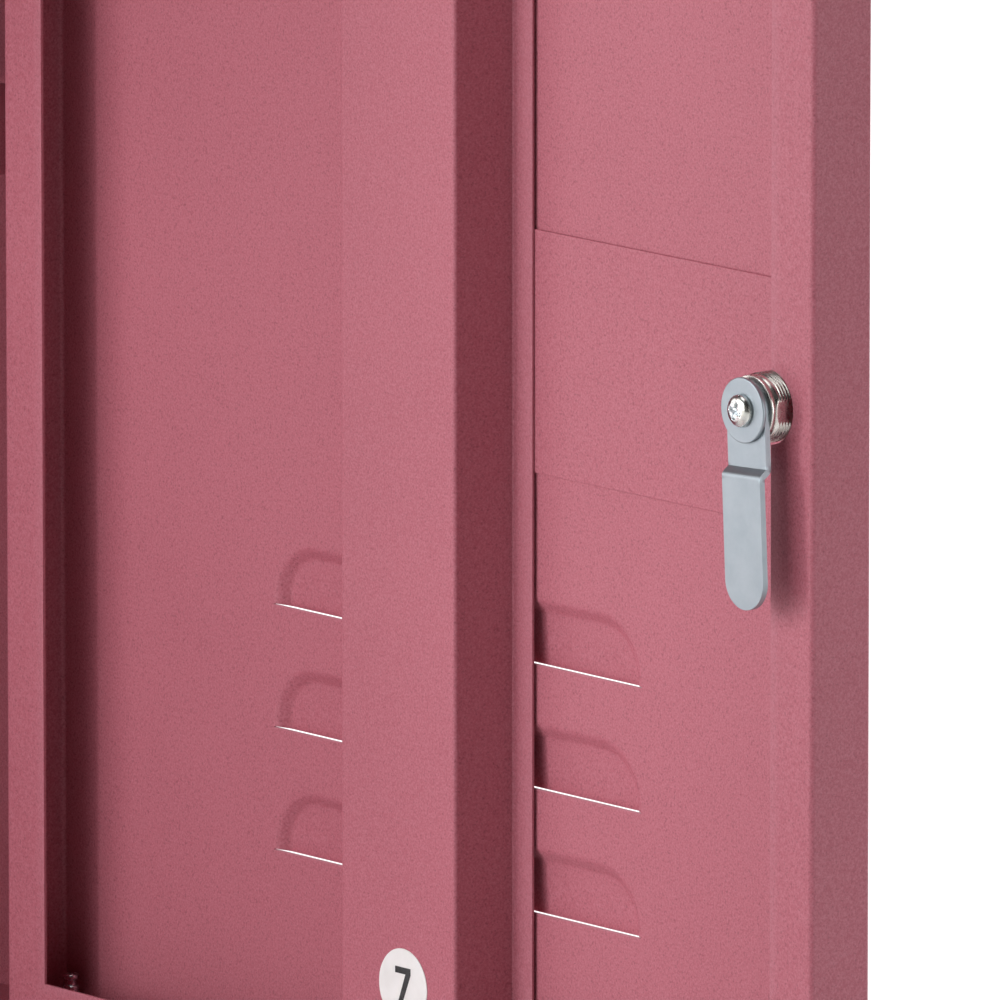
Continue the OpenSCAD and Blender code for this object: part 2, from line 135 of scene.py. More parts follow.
def make_light():
    """A large softbox square to the door's inner side, one that rakes it from the hinge side, two
    small ones for the part that the cabinet shades, one before the free edge, one over the
    cabinet, one over the floor, and a weak fill."""
    door_middle = (pan_low + pan_high) / 2
    area_light("key_softbox", door_middle + Vector((-2.2, 0.15, 0.75)), door_middle, 1.7, 1.7, 23)
    area_light("raking_softbox", (-1.79, 0.6, 0.9), (0.169, -0.42, 0.25), 0.35, 1.0, 10)
    area_light("hinge_softbox", (-0.35, -0.228, 0.28), (0.169, -0.228, 0.25), 0.045, 0.44, 0.5)
    area_light("cavity_softbox", (-0.12, -0.105, 0.24), (0.169, -0.25, 0.2), 0.17, 0.4, 0.44)
    area_light("edge_softbox", door_middle + Vector((0.95, -2.3, 0.3)), door_middle, 1.0, 1.6, 16)
    area_light("top_softbox", (-0.5, -0.3, 2.6), (0.1, -0.3, 0.3), 1.2, 1.2, 9)
    area_light("floor_softbox", (1.9, 1.5, 2.3), (1.4, 1.1, 0), 2.6, 2.6, 170)
    world = bpy.data.worlds.new("studio")
    world.use_nodes = True
    background = world.node_tree.nodes["Background"]
    background.inputs["Color"].default_value = (1, 0.985, 0.98, 1)
    background.inputs["Strength"].default_value = 0.03
    bpy.context.scene.world = world
    bpy.context.scene.view_settings.view_transform = "Standard"


def make_floor():
    """A plain pale floor, flush with the plane the cabinet stands on."""
    mesh = bpy.data.meshes.new("floor")
    reach = 14
    mesh.from_pydata([(-reach, -reach, 0), (reach, -reach, 0), (reach, reach, 0), (-reach, reach, 0)],
                     [], [(0, 1, 2, 3)])
    floor = bpy.data.objects.new("floor", mesh)
    bpy.context.scene.collection.objects.link(floor)
    finish = Finish("floor_finish", (0.93, 0.93, 0.93), 0.7)
    finish.vary_colour(finish.noise(6, 3), (0.92, 0.92, 0.92), (0.94, 0.94, 0.94))
    mesh.materials.append(finish.material)


# ------------------------------------------------------------------------------- finishes


class Finish:
    """One procedural finish: a shader on object coordinates, with colour, gloss and bump added."""

    def __init__(self, name, colour, roughness, metallic=0.0, gloss=0.5):
        """Starts the finish with even values, and keeps its object coordinates at hand."""
        self.material = bpy.data.materials.new(name)
        self.material.use_nodes = True
        self.tree = self.material.node_tree
        self.shader = self.tree.nodes["Principled BSDF"]
        self.shader.inputs["Base Color"].default_value = (*colour, 1)
        self.shader.inputs["Roughness"].default_value = roughness
        self.shader.inputs["Metallic"].default_value = metallic
        self.shader.inputs["Specular IOR Level"].default_value = gloss
        self.coordinates = self.tree.nodes.new("ShaderNodeTexCoord").outputs["Object"]
        self.material.diffuse_color = (*colour, 1)

    def noise(self, scale, detail=2.0, roughness=0.5):
        """A noise of so many grains a metre."""
        node = self.tree.nodes.new("ShaderNodeTexNoise")
        node.inputs["Scale"].default_value = scale
        node.inputs["Detail"].default_value = detail
        node.inputs["Roughness"].default_value = roughness
        self.tree.links.new(self.coordinates, node.inputs["Vector"])
        return node.outputs["Fac"]

    def span(self, value, low, high, out_low=0.0, out_high=1.0):
        """Maps a value from low..high onto out_low..out_high, held at both ends."""
        node = self.tree.nodes.new("ShaderNodeMapRange")
        for socket, number in zip(("From Min", "From Max", "To Min", "To Max"),
                                  (low, high, out_low, out_high)):
            node.inputs[socket].default_value = number
        self.tree.links.new(value, node.inputs["Value"])
        return node.outputs["Result"]

    def combine(self, operation, first, second):
        """Joins two values, or a value and a number, by one operation."""
        node = self.tree.nodes.new("ShaderNodeMath")
        node.operation = operation
        for socket, value in zip(node.inputs, (first, second)):
            if isinstance(value, (int, float)):
                socket.default_value = value
            else:
                self.tree.links.new(value, socket)
        return node.outputs["Value"]

    def mix(self, factor, first, second):
        """Mixes two colours, each a colour or a socket, by a factor."""
        node = self.tree.nodes.new("ShaderNodeMix")
        node.data_type = "RGBA"
        self.tree.links.new(factor, node.inputs["Factor"])
        for socket, value in zip((node.inputs[6], node.inputs[7]), (first, second)):
            if isinstance(value, tuple):
                socket.default_value = (*value, 1)
            else:
                self.tree.links.new(value, socket)
        return node.outputs[2]

    def vary_colour(self, factor, low, high):
        """Sets the colour to a mix of two by a factor."""
        self.set_colour(self.mix(factor, low, high))

    def set_colour(self, colour):
        """Feeds a socket to the shader's colour."""
        self.tree.links.new(colour, self.shader.inputs["Base Color"])

    def vary_roughness(self, value):
        """Feeds a socket to the shader's roughness."""
        self.tree.links.new(value, self.shader.inputs["Roughness"])

    def attribute(self, name):
        """A number stored on the piece's points, 0 where it has none."""
        node = self.tree.nodes.new("ShaderNodeAttribute")
        node.attribute_name = name
        return node.outputs["Fac"]

    def bump(self, *heights):
        """Adds reliefs one on another, each a height and its depth in millimetres."""
        normal = None
        for height, depth in heights:
            node = self.tree.nodes.new("ShaderNodeBump")
            node.inputs["Strength"].default_value = 1
            node.inputs["Distance"].default_value = depth * MM
            self.tree.links.new(height, node.inputs["Height"])
            if normal:
                self.tree.links.new(normal, node.inputs["Normal"])
            normal = node.outputs["Normal"]
        self.tree.links.new(normal, self.shader.inputs["Normal"])


def powder_coat():
    """Satin pink powder coat: fine orange peel, speckle, slow drift of tone, thin on cut edges, and a
    painted highlight on the cut edge below each louver's slit.
    """
    finish = Finish("powder_coat_pink", (0.45, 0.12, 0.16), 0.48, gloss=0.35)
    drift = finish.span(finish.noise(9, 3, 0.55), 0.3, 0.7)
    tone = finish.mix(drift, (0.420, 0.104, 0.142), (0.452, 0.118, 0.158))
    speckle = finish.span(finish.noise(1700, 2, 0.6), 0.35, 0.68)
    tone = finish.mix(finish.combine("MULTIPLY", speckle, 0.5), tone, (0.62, 0.24, 0.30))
    pits = finish.span(finish.noise(1500, 1, 0.5), 0.44, 0.24)
    tone = finish.mix(finish.combine("MULTIPLY", pits, 0.55), tone, (0.22, 0.05, 0.07))
    # Lighter tone where the attribute is set: a thinner coat on the sheets' outlines (wear), and a
    # painted highlight of light from above on the upward cut edge below each louver's slit.
    edge_wear_and_highlight = finish.combine("MULTIPLY", finish.attribute("cut_edge"),
                          finish.span(finish.noise(420, 3, 0.6), 0.3, 0.6, 0.55, 1))
    finish.set_colour(finish.mix(edge_wear_and_highlight, tone, (0.52, 0.22, 0.27)))
    finish.vary_roughness(finish.span(finish.noise(700, 2), 0.3, 0.7, 0.44, 0.56))
    peel = finish.noise(1100, 2, 0.45)
    grain = finish.noise(2400, 1, 0.5)
    finish.bump((peel, 0.045), (grain, 0.02))
    return finish.material


def satin_zinc():
    """Tumbled zinc plate: light bluish grey with a soft, even sheen and the faintest mottling."""
    finish = Finish("satin_zinc_plate", (0.34, 0.39, 0.43), 0.4, 0.85)
    mottle = finish.span(finish.noise(160, 3, 0.5), 0.3, 0.7)
    finish.vary_colour(mottle, (0.325, 0.375, 0.41), (0.365, 0.415, 0.45))
    finish.vary_roughness(finish.span(finish.noise(900, 3), 0.3, 0.7, 0.38, 0.46))
    finish.bump((finish.noise(1500, 2), 0.004), (finish.noise(500, 2), 0.006))
    return finish.material


def bright_zinc():
    """Bright zinc plate: light, a little blue, with a faint yellow haze in places."""
    finish = Finish("bright_zinc_plate", (0.75, 0.78, 0.80), 0.24, 1.0)
    haze = finish.span(finish.noise(150, 3, 0.6), 0.45, 0.75)
    finish.vary_colour(haze, (0.74, 0.78, 0.81), (0.78, 0.76, 0.68))
    finish.vary_roughness(finish.span(finish.noise(600, 3), 0.3, 0.7, 0.18, 0.32))
    finish.bump((finish.noise(1100, 2), 0.004), (finish.noise(220, 1), 0.02))
    return finish.material


def nickel_plate():
    """Nickel-plated die casting: warm silver with a soft cast skin."""
    finish = Finish("nickel_plate", (0.74, 0.72, 0.68), 0.28, 1.0)
    tone = finish.span(finish.noise(120, 3, 0.6), 0.35, 0.7)
    finish.vary_colour(tone, (0.74, 0.72, 0.68), (0.66, 0.63, 0.58))
    finish.vary_roughness(finish.span(finish.noise(500, 3), 0.3, 0.7, 0.2, 0.36))
    finish.bump((finish.noise(900, 3), 0.006), (finish.noise(160, 1), 0.03))
    return finish.material


def rubber():
    """Matt black rubber with a dusty bloom."""
    finish = Finish("black_rubber", (0.03, 0.03, 0.032), 0.75)
    bloom = finish.span(finish.noise(300, 4, 0.6), 0.4, 0.75)
    finish.vary_colour(bloom, (0.022, 0.022, 0.024), (0.06, 0.06, 0.062))
    finish.vary_roughness(finish.span(finish.noise(700, 2), 0.3, 0.7, 0.65, 0.85))
    finish.bump((finish.noise(1400, 2), 0.02), (finish.noise(260, 1), 0.03))
    return finish.material


def nylon():
    """Natural nylon: waxy and warm white."""
    finish = Finish("natural_nylon", (0.82, 0.80, 0.74), 0.42)
    tone = finish.span(finish.noise(90, 3), 0.3, 0.7)
    finish.vary_colour(tone, (0.80, 0.775, 0.70), (0.85, 0.835, 0.79))
    finish.vary_roughness(finish.span(finish.noise(400, 2), 0.3, 0.7, 0.36, 0.5))
    finish.bump((finish.noise(1000, 2), 0.012), (finish.noise(200, 1), 0.02))
    return finish.material


def vinyl(name, low, high):
    """Printed vinyl: an even tone with faint grain and a soft gloss."""
    finish = Finish(name, low, 0.35)
    finish.vary_colour(finish.span(finish.noise(220, 3), 0.3, 0.7), low, high)
    finish.vary_roughness(finish.span(finish.noise(800, 2), 0.3, 0.7, 0.3, 0.42))
    finish.bump((finish.noise(1300, 2), 0.008), (finish.noise(150, 1), 0.01))
    return finish.material


# --------------------------------------------------------------------------- mesh building


def grid_faces(rows, columns, wrap=False):
    """Quads of a grid of points kept row by row; wrap joins the last column to the first."""
    row = np.arange(rows - 1)[:, None]
    column = np.arange(columns if wrap else columns - 1)[None, :]
    near = row * columns + column
    far = row * columns + (column + 1) % columns
    return np.stack([near, far, far + columns, near + columns], -1).reshape(-1, 4)


def build(name, points, faces, where, body, slot, nodes=(), wall=0.0, bevel=0.0,
          bevel_angle=50, edge=None, closed=False):
    """Puts points and faces into a piece, gives it its wall and rounded edges, and hangs it up."""
    mesh = bpy.data.meshes.new(name)
    mesh.from_pydata(where(points).tolist(), [], [list(face) for face in faces])
    if edge is not None:
        mesh.attributes.new("cut_edge", "FLOAT", "POINT").data.foreach_set(
            "value", np.asarray(edge, np.float32))
    form = bmesh.new()
    form.from_mesh(mesh)
    bmesh.ops.remove_doubles(form, verts=form.verts, dist=1e-6)
    bmesh.ops.dissolve_degenerate(form, edges=form.edges, dist=1e-7)
    if closed:
        bmesh.ops.recalc_face_normals(form, faces=form.faces)
    form.to_mesh(mesh)
    form.free()
    mesh.polygons.foreach_set("use_smooth", [True] * len(mesh.polygons))
    piece = bpy.data.objects.new(name, mesh)
    bpy.context.scene.collection.objects.link(piece)
    if wall:
        solid = piece.modifiers.new("wall", "SOLIDIFY")
        solid.thickness = wall * MM
        solid.offset = 0
        solid.use_even_offset = True
    if bevel:
        rounding = piece.modifiers.new("rounding", "BEVEL")
        rounding.width = bevel * MM
        rounding.segments = 2
        rounding.limit_method = "ANGLE"
        rounding.angle_limit = math.radians(bevel_angle)
        rounding.use_clamp_overlap = True
    weighted = piece.modifiers.new("shading", "WEIGHTED_NORMAL")
    weighted.keep_sharp = True
    bpy.context.view_layer.update()
    finished = bpy.data.meshes.new_from_object(
        piece.evaluated_get(bpy.context.evaluated_depsgraph_get()))
    piece.modifiers.clear()
    piece.data = finished
    bpy.data.meshes.remove(mesh)
    finished.name = name
    finished.materials.clear()
    finished.materials.append(FINISHES[slot])
    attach(piece, body)
    if nodes:
        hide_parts(*nodes)


def rounded_path(corners, radius, steps=6):
    """A chain of straight runs whose corners are arcs of one radius.

    Each arc runs between the points where its circle touches the two runs; its points are the
    circle's centre plus the two touching radii, mixed by the sines of the angle still to go."""
    corners = np.array(corners, float)
    parts = [corners[:1]]
    for before, corner, after in zip(corners[:-2], corners[1:-1], corners[2:]):
        back = (before - corner) / np.linalg.norm(before - corner)
        ahead = (after - corner) / np.linalg.norm(after - corner)
        half = math.acos(float(np.clip(back @ ahead, -1, 1))) / 2
        middle = (back + ahead) / np.linalg.norm(back + ahead)
        centre = corner + middle * radius / math.sin(half)
        first = corner + back * radius / math.tan(half) - centre
        last = corner + ahead * radius / math.tan(half) - centre
        turn = math.pi - 2 * half
        share = np.linspace(0, 1, steps)[:, None]
        arc = (np.sin((1 - share) * turn) * first + np.sin(share * turn) * last) / math.sin(turn)
        parts.append(centre + arc)
    return np.concatenate(parts + [corners[-1:]])


def folded_sheet(corners, radius, start, end, order, steps=2):
    """A sheet folded along a rounded path and drawn out straight from start to end.

    A point is the path's point in two of the axes and the place along the run in the third;
    order says which axis takes the path's first value, its second value and the run."""
    path = rounded_path(corners, radius)
    run = np.linspace(start, end, steps)
    grid = np.empty((steps, len(path), 3))
    grid[:, :, order[0]] = path[None, :, 0]
    grid[:, :, order[1]] = path[None, :, 1]
    grid[:, :, order[2]] = run[:, None]
    edge = np.zeros((steps, len(path)))
    edge[:, [0, -1]] = OUTLINE_WEAR
    return grid.reshape(-1, 3), grid_faces(steps, len(path)), edge.ravel()


def turned(profile, steps=64):
    """A round piece: each profile point, a radius and a height, carried round the axis."""
    profile = np.array(profile, float)
    angle = np.linspace(0, 2 * math.pi, steps, endpoint=False)
    grid = np.empty((len(profile), steps, 3))
    grid[:, :, 0] = profile[:, 0, None] * np.cos(angle)
    grid[:, :, 1] = profile[:, 0, None] * np.sin(angle)
    grid[:, :, 2] = profile[:, 1, None]
    return grid.reshape(-1, 3), grid_faces(len(profile), steps, wrap=True)


def smooth_step(value):
    """0 below 0, 1 above 1, and 3t^2 - 2t^3 between."""
    share = np.clip(value, 0, 1)
    return share * share * (3 - 2 * share)


# -------------------------------------------------------------------------------- the door

SHEET = 0.8
FRAME_SHEET = 1.2
LIP_W = 17.0
BEND_R = 1.6
LIP_BEND_R = 1.2
LOUVER_W = 157.0
LOUVER_H = 18.0
LOUVER_D = 3.0
LOUVER_SLOPE = 0.3
LOUVER_CORNER = 17.0
LOUVER_EDGE = 4.2
LOUVER_PITCH = 34.0
LOUVER_V = 64.6
LOUVER_COUNT = 3
LOUVER_DROOP = 0.55
SLIT_GAP = 0.25
DROOP_REACH = 2.5
LOUVER_END = 21
NOTCH_R = 10.0
SKIN_INSET = SHEET / 2 + BEND_R
louver_rise = LOUVER_V + LOUVER_PITCH * np.arange(LOUVER_COUNT)
louver_slits = np.concatenate([louver_rise, DOOR_H - LOUVER_H - louver_rise])


def graded_lines(low, high, coarse, fine):
    """Grid lines from low to high: those of each fine run, and coarse ones between the runs."""
    lines = [np.linspace(low, high, int((high - low) / coarse) + 1)]
    for run in fine:
        run = np.asarray(run, float)
        lines = [old[(old < run[0] - 0.05) | (old > run[-1] + 0.05)] for old in lines] + [run]
    return np.unique(np.concatenate(lines).round(4))


def louver_depth(u, v):
    """Depth of the pressed louvers at each point of the skin.

    Inside a box with round upper corners the depth grows from its edge by a smooth step, up to
    a plateau that is deepest at the slit and shallower towards the top."""
    depth = np.zeros_like(u)
    for slit in louver_slits:
        across = np.abs(u - DOOR_W / 2) - LOUVER_W / 2 + LOUVER_CORNER
        above = v - slit - LOUVER_H + LOUVER_CORNER
        outside = np.hypot(np.maximum(across, 0), np.maximum(above, 0))
        inside = LOUVER_CORNER - outside - np.minimum(np.maximum(across, above), 0)
        rise = np.clip((v - slit) / LOUVER_H, 0, 1)
        plateau = LOUVER_D * (1 - LOUVER_SLOPE * rise)
        here = plateau * smooth_step(inside / LOUVER_EDGE)
        depth = np.maximum(depth, np.where(v > slit - NEAR, here, 0))
    return depth


def skin_lines():
    """Grid lines of the skin: fine over the louvers and the lock's notch, coarse between."""
    beside_slit = 0.35
    fine_v = [np.concatenate([slit - SLIT_GAP - np.array([beside_slit, 0]),
                              slit + np.array([0, beside_slit]),
                              slit + np.linspace(1, LOUVER_H + 1.5, 27)]) for slit in louver_slits]
    fine_v.append(LOCK_V + NOTCH_R * np.sin(np.radians(np.linspace(-90, 90, 23))))
    louver_ends = DOOR_W / 2 + np.array([-1, 1]) * (LOUVER_W / 2 + 1)
    fine_u = [np.linspace(louver_ends[0], louver_ends[0] + LOUVER_END, 31),
              np.linspace(louver_ends[1] - LOUVER_END, louver_ends[1], 31),
              LOCK_U + np.linspace(-11, 11, 12)]
    return (graded_lines(SKIN_INSET, DOOR_W - SKIN_INSET, 6, fine_u),
            graded_lines(SKIN_INSET, DOOR_H - SKIN_INSET, 5, fine_v))


def skin_cells(u, v, depth):
    """The skin's cells without those at a slit and those in the lock's hole."""
    cells = grid_faces(*u.shape).reshape(u.shape[0] - 1, u.shape[1] - 1, 4)
    low_depth, high_depth = depth[:-1], depth[1:]
    narrow = (np.diff(v[:, 0]) < SLIT_GAP + NEAR)[:, None]
    pressed = (high_depth[:, 1:] > NEAR) | (high_depth[:, :-1] > NEAR)
    slit = narrow & pressed & (low_depth[:, 1:] < NEAR)
    mid_u = (u[:-1, 1:] + u[:-1, :-1]) / 2
    mid_v = (v[1:, :-1] + v[:-1, :-1]) / 2
    lock_hole = np.hypot(mid_u - LOCK_U, mid_v - LOCK_V) < NOTCH_R + 0.4
    return cells[~(slit | lock_hole)].reshape(-1, 4)


def fold_section():
    """The door's fold from the skin to the lip's edge, as distances from the door's edge and
    heights, and the distance at which the lip's flat begins."""
    middle = SHEET / 2
    lower = rounded_path([(SKIN_INSET, middle), (middle, middle), (middle, DOOR_D - middle),
                          (LIP_W, DOOR_D - middle)], BEND_R)
    upper = rounded_path([(middle, DOOR_D / 2), (middle, DOOR_D - middle),
                          (LIP_W, DOOR_D - middle)], LIP_BEND_R)
    lip = np.linspace(upper[-2], upper[-1], 5)[1:]
    below = lower[1:, 1] < DOOR_D / 2
    return np.concatenate([lower[1:][below], upper[:-1], lip]), upper[-2, 0]


def moved_rim(rim, distance, size):
    """The rim's places along one axis, with its two ends put at a distance from the edges."""
    moved = np.clip(rim, distance, size - distance)
    moved = np.where(rim < SKIN_INSET + NEAR, distance, moved)
    return np.where(rim > size - SKIN_INSET - NEAR, size - distance, moved)


def fold_ring(rim_u, rim_v, distance, height, lip_start):
    """One ring of the folds; on the lip, the free edge's side keeps clear of the lock.

    The notch is a circle about the lock's axis: beside the axis the lip ends where the circle
    starts, and its lines close up evenly towards that end."""
    ring_u = moved_rim(rim_u, distance, DOOR_W)
    ring_v = moved_rim(rim_v, distance, DOOR_H)
    if distance > lip_start + NEAR:
        beside = np.sqrt(np.maximum(NOTCH_R ** 2 - (ring_v - LOCK_V) ** 2, 0))
        limit = np.minimum(LIP_W, DOOR_W - LOCK_U - beside + (beside == 0) * LIP_W)
        share = (distance - lip_start) / (LIP_W - lip_start)
        notched = DOOR_W - lip_start - share * (limit - lip_start)
        ring_u = np.where(rim_u > DOOR_W - SKIN_INSET - NEAR, notched, ring_u)
    return np.stack([ring_u, ring_v, np.full_like(ring_u, height)], -1)


def door_pan():
    """The door's one sheet: a skin with louvers, folded up into returns and in again as lips.

    The skin is a grid whose height is the louvers' depth. The folds are rings that carry one
    cross-section round the skin's rectangle: each ring is that rectangle grown or shrunk to the
    section's distance from the edge."""
    u, v = np.meshgrid(*skin_lines())
    depth = louver_depth(u, v)
    nearest = np.abs(v[:, :, None] - louver_slits).min(-1)
    at_slit = (nearest < SLIT_GAP + NEAR) & (louver_depth(u, v + SLIT_GAP) > NEAR)
    droop = LOUVER_DROOP * depth / LOUVER_D * np.exp(-nearest / DROOP_REACH)
    skin = np.stack([u, v - droop, SHEET / 2 - depth], -1)

    index = np.arange(u.size).reshape(u.shape)
    rim = np.concatenate([index[0, :-1], index[:-1, -1], index[-1, :0:-1], index[:0:-1, 0]])
    section, lip_start = fold_section()
    rings = [fold_ring(u.ravel()[rim], v.ravel()[rim], distance, height, lip_start)
             for distance, height in section]
    ring_index = u.size + np.arange(len(rings) * len(rim)).reshape(len(rings), len(rim))
    ring_index = np.concatenate([rim[None], ring_index])
    following = np.roll(ring_index, -1, axis=1)
    folds = np.stack([following[:-1], ring_index[:-1], ring_index[1:], following[1:]], -1)
    points = np.concatenate([skin.reshape(-1, 3), np.concatenate(rings)])
    faces = np.concatenate([skin_cells(u, v, depth), folds.reshape(-1, 4)])
    edge = np.zeros(len(points))
    # The cut edge below each louver's slit takes the lighter tone as a painted highlight of light
    # from above.
    edge[:u.size] = at_slit.ravel()
    edge[-len(rim):] = OUTLINE_WEAR
    build("door_pan_folded", points, faces, on_door, "door", "powder_coat", ["door_pan"],
          wall=SHEET, bevel=0.14, bevel_angle=56, edge=edge)


HAT_U0, HAT_U1 = 147.0, 196.0
HAT_FOOT = 8.5
HAT_FOOT_W = 1.9
HAT_LEAN = 3.4
HAT_BEND_R = 0.9
HAT_END_GAP = 1.2
HAT_TOP = DOOR_D - SHEET


def door_stiffener():
    """The top-hat section: two feet, two walls that lean out and a face, with small bends."""
    middle = SHEET / 2
    low, high = HAT_U0 + middle, HAT_U1 - middle
    path = [(low - HAT_LEAN - HAT_FOOT, HAT_FOOT_W), (low - HAT_LEAN, HAT_FOOT_W),
            (low, HAT_TOP - middle), (high, HAT_TOP - middle),
            (high + HAT_LEAN, HAT_FOOT_W), (high + HAT_LEAN + HAT_FOOT, HAT_FOOT_W)]
    points, faces, edge = folded_sheet(path, HAT_BEND_R, HAT_END_GAP, DOOR_H - HAT_END_GAP,
                                       (0, 2, 1), 9)
    build("door_stiffener_hat", points, faces, on_door, "door", "powder_coat",
          ["door_stiffener"], wall=SHEET, bevel=0.14, edge=edge)


PLATE_T = 0.65
PLATE_U0, PLATE_U1 = 200.4, DOOR_W - SHEET
PLATE_DROP, PLATE_H = 3.5, 66.0


def plate_with_hole(u0, u1, v0, v1, centre, radius, height, steps=96):
    """A flat plate with a round hole: straight spokes run from the hole out to the outline.

    A spoke ends where its direction first meets one of the four sides, and the spokes nearest
    a corner are turned to meet it."""
    angle = np.linspace(0, 2 * math.pi, steps, endpoint=False)
    corner = np.array([(u, v) for u in (u0, u1) for v in (v0, v1)]) - centre
    corner_angle = np.arctan2(corner[:, 1], corner[:, 0]) % (2 * math.pi)
    angle[np.abs(angle[:, None] - corner_angle).argmin(0)] = corner_angle
    cosine, sine = np.cos(angle), np.sin(angle)
    side = np.where(cosine > 0, u1 - centre[0], centre[0] - u0) / np.maximum(np.abs(cosine), 1e-9)
    end = np.where(sine > 0, v1 - centre[1], centre[1] - v0) / np.maximum(np.abs(sine), 1e-9)
    reach = np.minimum(side, end)
    share = np.linspace(0, 1, 6)[:, None] ** 1.5
    distance = radius + share * (reach - radius)
    grid = np.stack([centre[0] + distance * cosine, centre[1] + distance * sine,
                     np.full_like(distance, height)], -1)
    return grid.reshape(-1, 3), grid_faces(6, steps, wrap=True)


def lock_plate():
    """The reinforcing plate on the skin behind the lock, with the barrel's hole."""
    low = LOCK_V - PLATE_DROP - PLATE_H / 2
    hole_r, fold_gap = 9.7, 1.2
    points, faces = plate_with_hole(PLATE_U0, PLATE_U1 - fold_gap, low, low + PLATE_H,
                                    (LOCK_U, LOCK_V), hole_r, SHEET + PLATE_T / 2)
    build("lock_plate_welded", points, faces, on_door, "door", "powder_coat", ["lock_plate"],
          wall=PLATE_T, bevel=0.25)


def hinge_pins():
    """Stepped pins with a rounded tip, a collar, a body, a neck and a small head."""
    profile = [(0, -10), (1.5, -10), (2.0, -9.7), (2.2, -9.1), (2.2, -1.25), (3.8, -1.2),
               (4, -1.0), (4, -0.2), (3.8, 0), (2.2, 0.05), (2.2, 13.1), (2.0, 13.5),
               (1.4, 13.8), (1.4, 15.1), (1.9, 15.3), (2.1, 15.5), (2.1, 16.4), (1.8, 16.75),
               (0, 16.8)]
    pin_u, pin_w = 9, 5
    for name, foot, up in (("lower_hinge_pin", 0, 1), ("upper_hinge_pin", DOOR_H, -1)):
        points, faces = turned(profile, 40)
        placed = np.stack([pin_u + points[:, 0], foot + up * points[:, 2], pin_w + points[:, 1]], -1)
        build(name + "_turned", placed, faces, on_door, "door", "zinc_plate", [name],
              bevel=0.12, bevel_angle=60, closed=True)


DISC_U, DISC_V, DISC_R, DISC_T = 174.0, 41.5, 10.3, 0.25


def number_disc():
    """A round vinyl disc with a rolled rim, and a plain numeral on it made of two bars."""
    points, faces = turned([(0, 0), (DISC_R - 0.02, 0), (DISC_R, 0.1), (DISC_R - 0.12, DISC_T),
                            (DISC_R * 0.6, DISC_T), (0, DISC_T)], 96)
    build("number_disc_vinyl", points + (DISC_U, DISC_V, HAT_TOP), faces, on_door, "door",
          "white_label", ["number_disc"], closed=True)
    bar = 0.9
    low, high = -5.2, 5.2
    left, right = -3.2, 3.4
    corners = np.array([(left, high - 2 * bar), (right - 2.2, high - 2 * bar), (left + 1.0, low),
                        (left + 1.0 + 2.1 * bar, low), (right, high - 2 * bar), (right, high),
                        (left, high)])
    height = DISC_T + 0.04
    flat = np.column_stack([corners, np.full(len(corners), height)])
    build("disc_numeral", flat + (DISC_U, DISC_V, HAT_TOP), [(0, 1, 4, 5, 6), (1, 2, 3, 4)],
          on_door, "door", "black_rubber", wall=0.05)


# -------------------------------------------------------------------------------- the lock

BARREL_R = 9.5
BARREL_FLAT = 17.0
BARREL_END = 25.3
THREAD_PITCH = 1.0
THREAD_DEPTH = 0.55
HEAD_T = 2.5
PLUG_R = 6.05
RING_W, RING_T = BARREL_END + 0.3, 1.1
CAM_Z, CAM_T = RING_W + RING_T, 1.7
CAM_W, CAM_LEN = 15.5, 52.7
JOGGLE_START, JOGGLE_END, JOGGLE = 15.3, 17.6, 2.3
WASHER_R, WASHER_T = 8.7, 1.2


def lock_housing():
    """The barrel and its head.

    The barrel's radius falls from crest to root by a triangle wave of height minus the turn's
    share of the pitch, so the groove winds round it; both sides are then cut flat."""
    steps = 120
    angle = np.linspace(0, 2 * math.pi, steps, endpoint=False)[None, :]
    height = np.concatenate([[0, 1.8], np.arange(2.0, BARREL_END - 1.2, THREAD_PITCH / 8),
                             [BARREL_END - 1.1, BARREL_END - 0.8]])[:, None]
    phase = (height / THREAD_PITCH - angle / (2 * math.pi)) % 1
    groove = THREAD_DEPTH * np.clip(1.35 - 2.7 * np.abs(phase - 0.5), 0, 1)
    cut = smooth_step((height - 2) / 1.0) * smooth_step((BARREL_END - 1.0 - height) / 0.6)
    radius = BARREL_R - 0.05 - THREAD_DEPTH * (1 - cut) - groove * cut
    barrel = np.stack([radius * np.cos(angle), radius * np.sin(angle),
                       np.broadcast_to(height, radius.shape)], -1)
    end = np.array([(BARREL_R - 0.9, BARREL_END - 0.4), (BARREL_R - 1.3, BARREL_END),
                    (PLUG_R + 0.3, BARREL_END), (PLUG_R, BARREL_END - 0.3), (PLUG_R, 4),
                    (PLUG_R, 0), (PLUG_R, -0.8), (8.1, -0.85), (8.1, -HEAD_T + 0.15),
                    (8.3, -HEAD_T), (10.0, -HEAD_T), (11.0, -HEAD_T + 0.25),
                    (11.7, -HEAD_T + 0.9), (12.0, -HEAD_T + 1.7), (12.0, -0.15), (11.85, 0)])
    rest = np.stack([end[:, :1] * np.cos(angle), end[:, :1] * np.sin(angle),
                     np.broadcast_to(end[:, 1:], (len(end), steps))], -1)
    grid = np.concatenate([barrel, rest, barrel[:1]])
    flat = np.clip(grid[..., 0], -BARREL_FLAT / 2, BARREL_FLAT / 2)
    grid[..., 0] = np.where(grid[..., 2] > 0.01, flat, grid[..., 0])
    build("lock_housing_threaded", grid.reshape(-1, 3), grid_faces(len(grid), steps, wrap=True),
          on_lock, "door", "nickel_plate", ["lock_housing"], closed=True)


